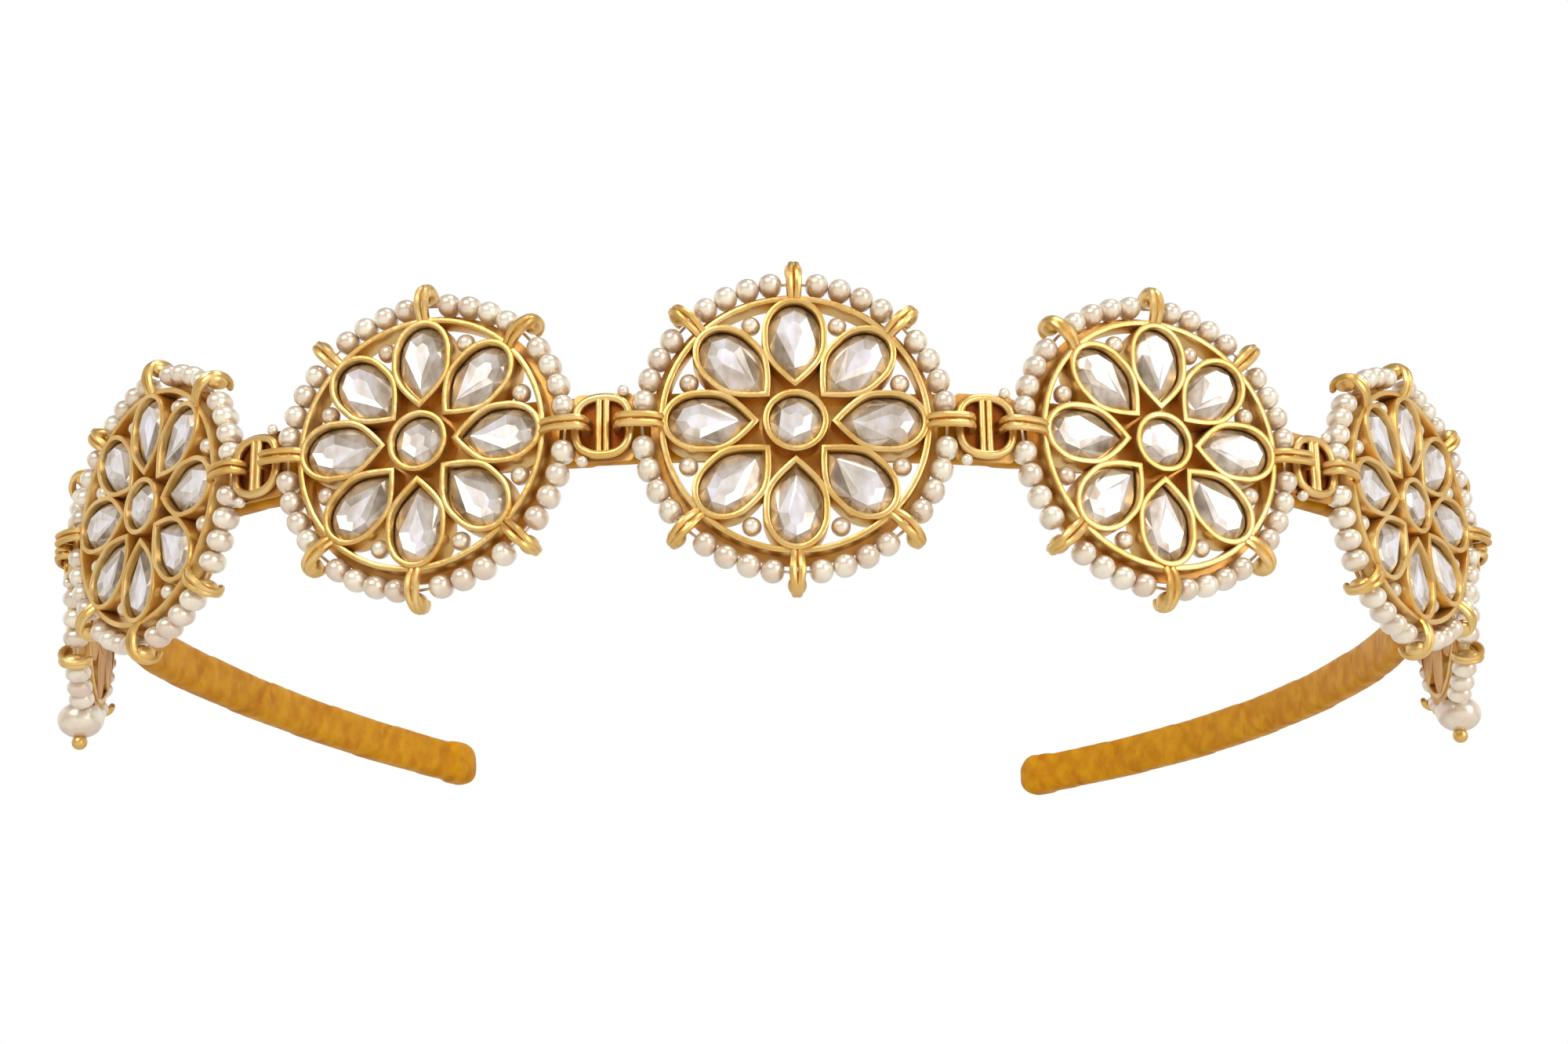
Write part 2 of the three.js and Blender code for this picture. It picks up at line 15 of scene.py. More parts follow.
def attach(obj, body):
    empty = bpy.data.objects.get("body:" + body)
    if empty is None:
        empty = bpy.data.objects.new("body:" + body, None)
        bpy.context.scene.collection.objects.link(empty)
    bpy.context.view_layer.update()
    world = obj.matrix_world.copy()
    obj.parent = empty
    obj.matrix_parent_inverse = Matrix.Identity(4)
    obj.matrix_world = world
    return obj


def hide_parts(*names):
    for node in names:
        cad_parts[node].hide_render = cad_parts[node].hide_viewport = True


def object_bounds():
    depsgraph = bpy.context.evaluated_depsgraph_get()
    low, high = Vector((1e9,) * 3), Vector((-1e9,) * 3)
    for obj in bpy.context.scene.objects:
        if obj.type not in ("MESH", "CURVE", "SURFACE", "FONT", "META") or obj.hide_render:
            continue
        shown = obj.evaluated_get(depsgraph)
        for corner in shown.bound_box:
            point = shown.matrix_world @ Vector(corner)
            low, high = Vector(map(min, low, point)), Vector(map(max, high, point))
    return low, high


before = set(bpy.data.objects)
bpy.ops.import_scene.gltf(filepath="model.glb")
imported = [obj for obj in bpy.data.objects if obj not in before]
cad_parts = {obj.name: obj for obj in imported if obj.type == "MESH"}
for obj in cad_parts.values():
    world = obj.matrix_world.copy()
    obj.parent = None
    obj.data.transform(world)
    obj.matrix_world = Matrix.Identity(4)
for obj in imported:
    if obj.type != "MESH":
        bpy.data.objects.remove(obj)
cad_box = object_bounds()

MM = 0.001
TURN = 2 * math.pi


# ---------------------------------------------------------------- the ribbon-wound band
# A flat springy core, open at the back, wound from end to end with a narrow satin ribbon.  The
# turns lie aslant and overlap, and the ribbon is pinched into small creases.  The last turns
# are folded over and glued, so each end is a soft rounded knob.

FRONT_ARCS = ((111.4, 31.8), (67.2, 31))  # radius and length, in mm
BAND_ARCS = {
    "left": (*FRONT_ARCS, (43.5, 46), (170, 67.4)),
    "right": (*FRONT_ARCS, (43.5, 29.2), (97.3, 96.3)),
}
HALF_BAND = {side: sum(length for radius, length in arcs) for side, arcs in BAND_ARCS.items()}
FRONT_RISE = 0.95
LEG_RISE = -2.4
SINK = (80, 108)  # the arcs between which the band sinks to its legs' level
BAND_GAP = 0.05
BAND_THICKNESS = 2.3
BAND_HEIGHTS = ((0, 6.1), (70, 6.0), (105, 5.1), (130, 5.15), (165, 5.5), (180, 5.6))  # arc and height
BAND_LEAN = math.radians(3.2)
BAND_SQUARENESS = 0.55
KNOB_LENGTH = 5.6
KNOB_HEIGHT = 6.0
KNOB_THICKNESS = 3.1
KNOB_LEAD = 1.0
KNOB_EASE = 1.6
LAP_PITCH = 13.5
LAP_STEP = 0.10
LAP_EDGE = 0.03
CREASES_PER_LAP = 4
CREASE_DEPTH = 0.07
CREASE_SHARPNESS = 3
CREASE_RUN = 4.0
CREASE_STRENGTH = 0.5
CREASE_SPREAD = 0.9
CREASE_WANDER = 0.7
WANDER_SCALE = 0.6
APART_IN_NOISE = Vector((31, 7, 3))
STEPS_ALONG = 900
STEPS_ROUND = 40
WELD = 0.004
# The satin's colour with painted sheen, for where the creases stand up, and with painted shade, for where
# they sink.
SATIN_WITH_PAINTED_SHEEN = (0.60, 0.28, 0.004)
SATIN_WITH_PAINTED_SHADE = (0.45, 0.165, 0.002)
# Painted shade in the step under each lapped edge.
SATIN_LAP_SHADE = (0.38, 0.13, 0.002)
# Painted shade in the pinched creases.
SATIN_PINCH_SHADE = (0.30, 0.075, 0.002)
THREADS_PER_LAP = 90


class Value:
    """A number or colour that varies over a surface.  Arithmetic on it adds Math nodes."""

    def __init__(self, shader, socket):
        self.shader = shader
        self.socket = socket

    def _math(self, operation, *values):
        inputs = dict(enumerate(values))
        return self.shader.node("Math", inputs, {"operation": operation})

    def __add__(self, other):
        return self._math("ADD", self, other)

    def __sub__(self, other):
        return self._math("SUBTRACT", self, other)

    def __rsub__(self, other):
        return self._math("SUBTRACT", other, self)

    def __mul__(self, other):
        return self._math("MULTIPLY", self, other)

    __radd__ = __add__
    __rmul__ = __mul__

    def sine(self):
        return self._math("SINE", self)

    def fraction(self):
        return self._math("FRACT", self)

    def between(self, low, high):
        """0 below low, 1 above high, and smooth between them."""
        ramp = {"interpolation_type": "SMOOTHSTEP"}
        return self.shader.node("MapRange", {"Value": self, "From Min": low, "From Max": high}, ramp)


class Shader:
    """The nodes of one material round its Principled BSDF, or of the studio's air."""

    def __init__(self, name, air=None, **constants):
        self.material = air or bpy.data.materials.new(name)
        self.material.use_nodes = True
        self.tree = self.material.node_tree
        self.surface = self.tree.nodes["Background" if air else "Principled BSDF"]
        for socket, value in constants.items():
            self.surface.inputs[socket.replace("_", " ")].default_value = value

    def node(self, kind, inputs=None, settings=None, stops=None, output=0):
        """A node with its settings made first, then the values or links of its sockets."""
        made = self.tree.nodes.new("ShaderNode" + kind)
        for name, value in (settings or {}).items():
            setattr(made, name, value)
        if stops:
            ramp = made.color_ramp
            while len(ramp.elements) < len(stops):
                ramp.elements.new(1)
            for element, (place, colour) in zip(ramp.elements, stops):
                element.position = place
                element.color = (*colour, 1)
        for socket, value in (inputs or {}).items():
            self.feed(made.inputs[socket], value)
        return Value(self, made.outputs[output])

    def feed(self, socket, value):
        if isinstance(value, Value):
            self.tree.links.new(value.socket, socket)
        else:
            socket.default_value = value

    def mix(self, share, first, second):
        """Colours mixed by a share of the second."""
        colours = [(*c, 1) if isinstance(c, tuple) else c for c in (first, second)]
        inputs = {0: share, 6: colours[0], 7: colours[1]}
        return self.node("Mix", inputs, {"data_type": "RGBA"}, output=2)

    def place(self):
        """Where a point of the surface is on its piece."""
        return self.node("TexCoord", output="Object")

    def noise(self, place, scale, detail=2.0, roughness=0.5):
        inputs = {"Vector": place, "Scale": scale, "Detail": detail, "Roughness": roughness}
        return self.node("TexNoise", inputs)

    def stretched(self, place, scale):
        return self.node("Mapping", {"Vector": place, "Scale": scale}, {"vector_type": "POINT"})

    def set(self, socket, value):
        self.feed(self.surface.inputs[socket], value)

    def bump(self, height, distance, strength=1.0):
        inputs = {"Height": height, "Distance": distance, "Strength": strength}
        self.set("Normal", self.node("Bump", inputs))


def ribbon_material():
    """Golden yellow satin: threads along the ribbon, soft sheen, creases and lapped edges."""
    cloth = Shader("gold_satin_ribbon", Specular_IOR_Level=0.1, Sheen_Weight=0.04,
                   Sheen_Roughness=0.35, Sheen_Tint=(1.0, 0.6, 0.12, 1))
    along = cloth.node("Attribute", settings={"attribute_name": "lap"}, output="Fac")
    place = cloth.place()
    lap = along.fraction()
    # The lapped edges are painted darker, as painted shade in the step under each lap.
    edge = lap.between(0.0, 0.05) * (1 - lap.between(0.9, 1.0))
    crumple = cloth.noise(place, scale=420.0, detail=3.0)
    crease = cloth.noise(cloth.stretched(place, (1.0, 1.0, 0.85)), scale=520.0)
    # The pinches sink in the bump and are painted darker, as painted shade in them.
    pinch_and_shade = cloth.noise(cloth.stretched(place, (1.0, 1.0, 0.7)), scale=480.0, detail=1.0).between(0.62, 0.72)
    weave = (along * (TURN * THREADS_PER_LAP)).sine()
    # The colour follows the creases' height: painted sheen where they stand up, painted shade where they
    # sink.
    tone = crease.between(0.3, 0.7) * 0.6 + crumple.between(0.3, 0.7) * 0.4
    satin = cloth.mix(tone, SATIN_WITH_PAINTED_SHADE, SATIN_WITH_PAINTED_SHEEN)
    base = cloth.mix(pinch_and_shade * 0.28, satin, SATIN_PINCH_SHADE)
    cloth.set("Base Color", cloth.mix(edge * 0.4 + 0.6, SATIN_LAP_SHADE, base))
    cloth.set("Roughness", 0.5 - tone * 0.18)
    cloth.bump(crease * 0.6 + crumple * 0.5 - pinch_and_shade * 0.3 + weave * 0.01, distance=0.0003, strength=0.7)
    return cloth.material


def side_of(arc):
    return "left" if arc < 0 else "right"


def eased(share):
    """A share held between 0 and 1, smooth at both."""
    share = min(max(share, 0), 1)
    return share * share * (3 - 2 * share)


def squared(share, power):
    """A share of a circle's radius, moved out toward a square's by a power below 1."""
    return math.copysign(abs(share) ** power, share)


def band_at(arc):
    """The centre of the band at an arc length in mm from its middle, negative on the left."""
    side = -1 if arc < 0 else 1
    sunk = eased((abs(arc) - SINK[0]) / (SINK[1] - SINK[0]))
    spot = Vector((0, -BAND_THICKNESS / 2 - BAND_GAP, FRONT_RISE + (LEG_RISE - FRONT_RISE) * sunk))
    heading = 0.0
    rest = abs(arc)
    for radius, length in BAND_ARCS[side_of(arc)]:
        run = min(rest, length)
        turned = heading + run / radius
        spot.x += radius * (math.sin(turned) - math.sin(heading))
        spot.y += radius * (math.cos(heading) - math.cos(turned))
        heading = turned
        rest -= run
    spot.x *= side
    lean = Matrix.Rotation(BAND_LEAN, 3, Vector((math.cos(heading), side * math.sin(heading), 0)))
    level = Vector((side * math.sin(heading), -math.cos(heading), 0))
    return spot, lean @ level, lean @ Vector((0, 0, 1))


def band_size(arc):
    """Height and thickness of the wound band, which swells at its knobs and closes at its tips."""
    to_tip = HALF_BAND[side_of(arc)] - abs(arc)
    height = BAND_HEIGHTS[-1][1]
    for (start, here), (end, there) in zip(BAND_HEIGHTS, BAND_HEIGHTS[1:]):
        if start <= abs(arc) < end:
            height = here + (there - here) * eased((abs(arc) - start) / (end - start))
    swell = eased((KNOB_LENGTH + KNOB_LEAD - to_tip) / KNOB_EASE)
    height += (KNOB_HEIGHT - height) * swell
    thickness = BAND_THICKNESS + (KNOB_THICKNESS - BAND_THICKNESS) * swell
    bluntness = min(to_tip / (KNOB_HEIGHT / 2), 1)
    close = math.sqrt(max(1 - (1 - bluntness) ** 2, 0))
    return height * close, thickness * close


def lap_of(arc, turn):
    """How many times the ribbon has gone round at a place; whole numbers are its lapped edges."""
    return abs(arc) / LAP_PITCH + turn


def ribbon_height(arc, turn):
    """How far the ribbon stands out: a step at each lapped edge, and pinched creases between."""
    lap = lap_of(arc, turn)
    share = lap % 1
    step = LAP_STEP * (1 - share) * min(share / LAP_EDGE, 1)
    spot = Vector((arc / CREASE_RUN, math.cos(TURN * turn), math.sin(TURN * turn)))
    wander = CREASE_WANDER * noise.noise(spot * WANDER_SCALE)
    strength = CREASE_STRENGTH + CREASE_SPREAD * noise.noise(spot + APART_IN_NOISE)
    crease = abs(math.sin(math.pi * (lap * CREASES_PER_LAP + wander)))
    return step - CREASE_DEPTH * max(strength, 0) * (1 - crease) ** CREASE_SHARPNESS


def piece_from(shape, name, material, replaced=(), sharp_angle=35, seat=None):
    """Makes a shape in millimetres a named piece that rides on the root and stands for nodes."""
    shape.transform(Matrix.Scale(MM, 4) @ (seat or Matrix.Identity(4)))
    mesh = bpy.data.meshes.new(name)
    shape.to_mesh(mesh)
    shape.free()
    mesh.materials.append(material)
    mesh.shade_smooth()
    mesh.set_sharp_from_angle(angle=math.radians(sharp_angle))
    piece = bpy.data.objects.new(name, mesh)
    bpy.context.scene.collection.objects.link(piece)
    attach(piece, "root")
    if replaced:
        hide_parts(*replaced)
    return piece


def wound_band():
    shape = bmesh.new()
    bmesh.ops.create_grid(shape, x_segments=STEPS_ALONG, y_segments=STEPS_ROUND, size=0.5)
    lap_layer = shape.verts.layers.float.new("lap")
    for vert in shape.verts:
        arc = vert.co.x * 2 * HALF_BAND[side_of(vert.co.x)]
        turn = vert.co.y + 0.5
        spot, out, up = band_at(arc)
        height, thickness = band_size(arc)
        lift = ribbon_height(arc, turn)
        across = squared(math.cos(TURN * turn), BAND_SQUARENESS)
        rise = squared(math.sin(TURN * turn), BAND_SQUARENESS)
        vert[lap_layer] = lap_of(arc, turn)
        vert.co = spot + out * across * (thickness / 2 + lift) + up * rise * (height / 2 + lift)
    bmesh.ops.remove_doubles(shape, verts=shape.verts, dist=WELD)
    bmesh.ops.recalc_face_normals(shape, faces=shape.faces)
    return shape


piece_from(wound_band(), "ribbon_wound_band", ribbon_material(), ["hair_band"],
           sharp_angle=60)


# ---------------------------------------------------------------- the medallion settings
# Each setting is cast and soldered brass, gold plated and polished: an outer ring, eight petal
# cups that touch it and each other, and a raised round cup at the middle.  Eight prongs of
# doubled wire arch from the ring over the pearl string; most curl back behind it, and those
# beside another medallion are hooks.

PLACES = ("left_3", "left_2", "left_1", "middle", "right_1", "right_2", "right_3")
PETALS = 8
RING_RADIUS = 11.6
RING_WALL = 0.55
RING_BACK = -1.7
RING_FRONT = 0.5
RING_STEPS = 112
GIRDLE_SHARE = 0.97  # of a centre stone's half width, past which a corner is on its girdle
FOOT_RADIUS = 12.3
FOOT_DEPTHS = (-1.45, -1.15)
PETAL_TIP = 3.05
PETAL_WAIST = 8.1
PETAL_END = 11.35
PETAL_HALF_WIDTH = 2.8
PETAL_HANDLES = ((0.504, 1.06), (0.66, 1.0))  # shares of the side's length and of the half width
PETAL_FRONT = 0.75
PETAL_WALL = 0.52
PETAL_POCKET = 1.25
CUP_RADIUS = 2.8
CUP_FRONT = 1.0
CUP_STEPS = 48
DISC_RADIUS = 6.3
DISC_THICKNESS = 0.5
BACKING = 0.06
BACKING_INSET = 0.03
RIM_ROUND = 0.13
RIM_CORNER = 0.3 * RIM_ROUND
RIM_TOUCH = 1e-5
RIM_ANGLE = 1.0
PRONG_WIRE = 0.34
PRONG_CORE = (0.84, 0.8, 1.2)
PRONG_CORE_PLACE = (14.15, -0.35)
PRONG_PATH = (  # radius, half spread of the two wires, and depth
    (11.15, 0.28, 0.1), (11.6, 0.28, 0.5), (12.4, 0.35, 0.9), (13.3, 0.36, 0.98), (14.2, 0.26, 0.65),
    (14.72, 0.18, -0.1), (14.72, 0.16, -1.0), (14.4, 0.16, -1.6), (13.9, 0.16, -1.85),
)
HOOK_WIRE = 0.34
HOOK_PATH = (
    (11.2, 0.36, 0.25), (11.6, 0.36, 0.85), (12.6, 0.36, 1.22), (14.1, 0.36, 1.22),
    (14.85, 0.36, 0.95), (15.12, 0.36, 0.1), (15.1, 0.36, -1.1),
)
INNER_HOOKS = (0, 4)  # the petals that a hook stands at, on a medallion between two others
END_HOOKS = {"left_3": (0,), "right_3": (4,)}
DROP_TURN = 6  # the petal above the drop
STRING_DEPTH = -0.5
DULL_SPOTS = (0.60, 0.30, 0.08)


def gold_material(name, light, deep, dull):
    """Polished yellow gold plate over cast brass, with faint casting waves and a few dull spots."""
    metal = Shader(name, Metallic=1.0, Specular_IOR_Level=0.5)
    place = metal.place()
    waves = metal.noise(place, scale=900.0)
    grain = metal.noise(place, scale=5200.0, detail=3.0, roughness=0.6)
    tint = metal.noise(place, scale=260.0)
    warm = metal.mix(tint.between(0.35, 0.65), deep, light)
    metal.set("Base Color", metal.mix(grain.between(0.62, 0.8) * 0.35, warm, DULL_SPOTS))
    metal.set("Roughness", dull + grain * 0.10 + waves * 0.08)
    metal.bump(waves + grain * 0.15, distance=0.00012, strength=0.5)
    return metal.material


def corners_of(node):
    """The separate corners of a CAD node, in mm."""
    spots = {tuple(round(along / MM, 4) for along in vert.co) for vert in node.data.vertices}
    return [Vector(spot) for spot in spots]


def mean(spots):
    return sum(spots, Vector()) / len(spots)


def seat_of(place):
    """The matrix from a medallion's own axes, in mm, to its seat on the band.

    Its X runs along the band, Y up its face and Z outward, from a plane just before the pearls'.
    """
    stone = corners_of(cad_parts["centre_stone_" + place])
    middle = mean(stone)
    widest = max((spot - middle).length for spot in stone)
    back = [spot for spot in stone if (spot - middle).length > GIRDLE_SHARE * widest]
    table = [spot for spot in stone if spot not in back]
    out = (mean(table) - mean(back)).normalized()
    along = Vector((0, 0, 1)).cross(out).normalized()
    depths = [spot.dot(out) for spot in corners_of(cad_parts["pearls_" + place])]
    plane = (min(depths) + max(depths)) / 2 - STRING_DEPTH
    seat = Matrix((along, out.cross(along), out)).transposed().to_4x4()
    seat.translation = middle + out * (plane - middle.dot(out))
    return seat


def petal_half(inset=0.0, curve_steps=12):
    """Half of a petal's outline from tip to round end, drawn in by a distance."""
    tip = PETAL_TIP + inset * math.sqrt(2)
    width = PETAL_HALF_WIDTH - inset
    end = PETAL_END - inset
    start = Vector((tip, 0))
    waist = Vector((PETAL_WAIST, width))
    handles = [Vector((tip + (PETAL_WAIST - tip) * run, width * rise)) for run, rise in PETAL_HANDLES]
    side = geometry.interpolate_bezier(start, *handles, waist, curve_steps)
    half = [Vector(point[:2]) for point in side]
    for step in range(1, curve_steps + 1):
        angle = TURN / 4 * step / curve_steps
        along = PETAL_WAIST + (end - PETAL_WAIST) * math.sin(angle)
        half.append(Vector((along, width * math.cos(angle))))
    return half


def petal_outline(inset=0.0, curve_steps=12):
    half = petal_half(inset, curve_steps)
    return [Vector((point.x, -point.y)) for point in half] + list(reversed(half[1:-1]))


def face_from(shape, outline, depth):
    return shape.faces.new([shape.verts.new((*point, depth)) for point in outline])


def cup(shape, outline, front, wall, pocket):
    """A cup with a floor: an outline raised from the back, with a pocket sunk into its front."""
    base = face_from(shape, outline, RING_BACK)
    raised = bmesh.ops.extrude_face_region(shape, geom=[base])["geom"]
    top = next(item for item in raised if isinstance(item, bmesh.types.BMFace))
    bmesh.ops.translate(shape, verts=top.verts, vec=(0, 0, front - RING_BACK))
    bmesh.ops.inset_region(shape, faces=[top], thickness=wall, use_even_offset=True)
    rim = list(top.edges)
    floor = bmesh.ops.extrude_discrete_faces(shape, faces=[top])["faces"][0]
    bmesh.ops.translate(shape, verts=floor.verts, vec=(0, 0, -pocket))
    shape.normal_update()
    outer = [edge for edge in shape.edges if edge.is_valid and edge.calc_length() > 0
             and all(abs(vert.co.z - front) < RIM_TOUCH for vert in edge.verts)
             and edge.calc_face_angle(0) > RIM_ANGLE]
    bmesh.ops.bevel(shape, geom=outer, offset=RIM_ROUND, segments=2, profile=0.5, affect="EDGES",
                    material=-1)
    return rim


def turned(shape, turn):
    """The shape turned about the medallion's axis."""
    shape.transform(Matrix.Rotation(turn, 4, "Z"))
    return shape


def join(shape, other):
    """Adds another shape to this one."""
    mesh = bpy.data.meshes.new("joined")
    other.to_mesh(mesh)
    shape.from_mesh(mesh)
    bpy.data.meshes.remove(mesh)
    other.free()


def wire(shape, path, radius, closed=False, roundness=2):
    """A round wire along a path."""
    curve = bpy.data.curves.new("wire", "CURVE")
    curve.dimensions = "3D"
    curve.bevel_depth = radius
    curve.bevel_resolution = roundness
    curve.use_fill_caps = not closed
    spline = curve.splines.new("POLY")
    spline.points.add(len(path) - 1)
    spline.use_cyclic_u = closed
    for point, spot in zip(spline.points, path):
        point.co = (*spot, 1)
    holder = bpy.data.objects.new("wire", curve)
    mesh = bpy.data.meshes.new_from_object(holder)
    shape.from_mesh(mesh)
    bpy.data.objects.remove(holder)
    bpy.data.curves.remove(curve)
    bpy.data.meshes.remove(mesh)


def smooth_path(spots, steps=4):
    """A path rounded through its spots."""
    path = []
    for index in range(len(spots) - 1):
        before = spots[max(index - 1, 0)]
        after = spots[min(index + 2, len(spots) - 1)]
        here, there = spots[index], spots[index + 1]
        first = here + (there - before) / 6
        second = there - (after - here) / 6
        path += geometry.interpolate_bezier(here, first, second, there, steps + 1)[:-1]
    return path + [spots[-1]]


def prong(path, wire_radius, turn, core=None):
    """A doubled wire from the ring over the pearl string, closed by its bend at the far end.

    A curled prong is filled with solder, as an oval core inside its curl.
    """
    out = [Vector(spot) for spot in path]
    home = [Vector((radius, -spread, depth)) for radius, spread, depth in reversed(path)]
    shape = bmesh.new()
    wire(shape, smooth_path(out) + smooth_path(home), wire_radius)
    if core:
        reach, depth = PRONG_CORE_PLACE
        stance = Matrix.Translation((reach, 0, depth)) @ Matrix.Diagonal((*core, 1))
        bmesh.ops.create_uvsphere(shape, u_segments=20, v_segments=14, radius=1, matrix=stance)
    return turned(shape, turn)


def spun(profile):
    """A ring turned about the medallion's axis, from a closed profile of radii and depths."""
    shape = bmesh.new()
    corners = [shape.verts.new((radius, 0, depth)) for radius, depth in profile]
    loop = [shape.edges.new(pair) for pair in zip(corners, corners[1:] + corners[:1])]
    bmesh.ops.spin(shape, geom=loop, axis=(0, 0, 1), cent=(0, 0, 0), angle=TURN,
                   steps=RING_STEPS, use_merge=True)
    bmesh.ops.recalc_face_normals(shape, faces=shape.faces)
    return shape


def outer_ring():
    outer = RING_RADIUS
    inner = RING_RADIUS - RING_WALL
    soft = RIM_ROUND
    front_corner = RING_FRONT - RIM_CORNER
    return spun((
        (inner, RING_BACK + soft), (inner, RING_FRONT - soft), (inner + RIM_CORNER, front_corner),
        (inner + soft, RING_FRONT), (outer - soft, RING_FRONT), (outer - RIM_CORNER, front_corner),
        (outer, RING_FRONT - soft), (outer, RING_BACK + soft), (outer - soft, RING_BACK),
        (inner + soft, RING_BACK),
    ))


def ring_foot():
    """The ring's foot behind the pearl string."""
    lowest, highest = FOOT_DEPTHS
    inner = RING_RADIUS - RING_WALL / 2
    return spun(((inner, lowest), (FOOT_RADIUS, lowest), (FOOT_RADIUS, highest), (inner, highest)))


def circle_outline(radius, steps, start=0.0):
    angles = [start + TURN * step / steps for step in range(steps)]
    return [Vector((radius * math.cos(angle), radius * math.sin(angle))) for angle in angles]


def setting(place):
    shape = outer_ring()
    for petal in range(PETALS):
        one = bmesh.new()
        cup(one, petal_outline(), PETAL_FRONT, PETAL_WALL, PETAL_POCKET)
        join(shape, turned(one, TURN * petal / PETALS))
    middle = bmesh.new()
    cup(middle, circle_outline(CUP_RADIUS, CUP_STEPS), CUP_FRONT, PETAL_WALL, PETAL_POCKET)
    join(shape, middle)
    for petal in range(PETALS):
        turn = TURN * petal / PETALS
        if petal in END_HOOKS.get(place, INNER_HOOKS):
            join(shape, prong(HOOK_PATH, HOOK_WIRE, turn))
        elif place not in END_HOOKS or petal != DROP_TURN:
            join(shape, prong(PRONG_PATH, PRONG_WIRE, turn, PRONG_CORE))
    return shape


def back_plate():
    """The thin plates behind the inner gaps and the cups, which are not polished; their darker gold is
    partly painted shade.
    """
    shape = ring_foot()
    stance = Matrix.Translation((0, 0, RING_BACK + DISC_THICKNESS / 4))
    bmesh.ops.create_cone(shape, cap_ends=True, segments=CUP_STEPS, radius1=DISC_RADIUS,
                          radius2=DISC_RADIUS, depth=DISC_THICKNESS, matrix=stance)
    for petal in range(PETALS):
        one = bmesh.new()
        base = face_from(one, petal_outline(BACKING_INSET), RING_BACK - BACKING)
        raised = bmesh.ops.extrude_face_region(one, geom=[base])["geom"]
        lifted = [item for item in raised if isinstance(item, bmesh.types.BMVert)]
        bmesh.ops.translate(one, verts=lifted, vec=(0, 0, 2 * BACKING))
        bmesh.ops.recalc_face_normals(one, faces=one.faces)
        join(shape, turned(one, TURN * petal / PETALS))
    return shape


gold = gold_material("gold_plate", light=(0.78, 0.54, 0.215), deep=(0.69, 0.425, 0.125), dull=0.28)
# Unpolished gold for the plates behind the settings and the links, darker than the polished gold: partly
# painted shade.
unpolished_gold_painted_shade = gold_material("unpolished_gold_painted_shade", light=(0.66, 0.38, 0.12), deep=(0.53, 0.25, 0.055), dull=0.4)
# Dark red-brown gold for the sheets inside the links' rings: painted shadow of the ribbon behind them.
painted_shadow_gold = gold_material("painted_shadow_gold", light=(0.30, 0.08, 0.012), deep=(0.22, 0.05, 0.008), dull=0.5)
seats = {place: seat_of(place) for place in PLACES}
for place in PLACES:
    piece_from(setting(place), "gold_setting_" + place, gold, ["setting_" + place],
               seat=seats[place])
    piece_from(back_plate(), "back_plate_" + place, unpolished_gold_painted_shade, seat=seats[place])


# ---------------------------------------------------------------- the stones
# Clear glass stones cut with a flat table and a ring of crown facets, set on silver foil, so
# that the back facets show through the table.  The petal stones are pear-shaped.

STONE_SLACK = 0.12
STONE_BACK = -0.4
GIRDLE_DEPTH = 0.05
TABLE_DEPTH = 0.6
GIRDLE_STEPS = 8
TABLE_STEPS = 2
CROWN_WIDTH = 0.62
KEEL_WIDTH = 0.85
KEEL_DIP = 0.12
CENTRE_GIRDLE = 0.4
CENTRE_TABLE = 0.95
CENTRE_BODY = 0.6
CENTRE_TABLE_SHARE = 0.7
CENTRE_KEEL_SHARE = 0.34
CENTRE_STEPS = 24
CENTRE_FACETS = 6
CENTRE_TURN = TURN / 16
# The tone drawn at random for each facet, within a range: the crown facets low, as painted shade beside the
# bezel, and the keel face high, as a painted highlight.
CROWN_SHADE_TONES = (0.0, 0.5)
TABLE_TONES = (0.4, 0.95)
KEEL_HIGHLIGHT_TONES = (0.8, 1.0)
SAME_DEPTH = 1e-4
LEVEL = 0.999
PETAL_SEED = 100
SEEDS_PER_PLACE = 10
FACET_REFLECTION_TONES = (  # painted shade in smoky brown, through greys, to a painted silver highlight
    (0.0, (0.14, 0.10, 0.06)), (0.2, (0.33, 0.26, 0.19)), (0.45, (0.54, 0.46, 0.38)),
    (0.7, (0.72, 0.66, 0.62)), (1.0, (0.88, 0.87, 0.97)),
)
APART = ("left_1", "middle", "right_1")  # where each petal stone is a piece of its own


def glass_material():
    """Foiled glass: facets painted with their reflections, as bright silver highlights, whites and greys,
    and a few in smoky brown shade.
    """
    glass = Shader("foiled_glass", Metallic=0.7, Coat_Weight=0.5, Coat_Roughness=0.06, Coat_IOR=1.52)
    tone = glass.node("Attribute", settings={"attribute_name": "facet"}, output="Fac")
    cloud = glass.noise(glass.place(), scale=480.0)
    streak = glass.noise(glass.stretched(glass.place(), (1.0, 1.0, 0.35)), scale=1500.0, detail=3.0)
    shade = tone * 0.66 + cloud.between(0.3, 0.7) * 0.26 + streak.between(0.35, 0.65) * 0.12
    glass.set("Base Color", glass.node("ValToRGB", {"Fac": shade}, stops=FACET_REFLECTION_TONES))
    glass.set("Roughness", 0.26 + cloud * 0.14)
    return glass.material


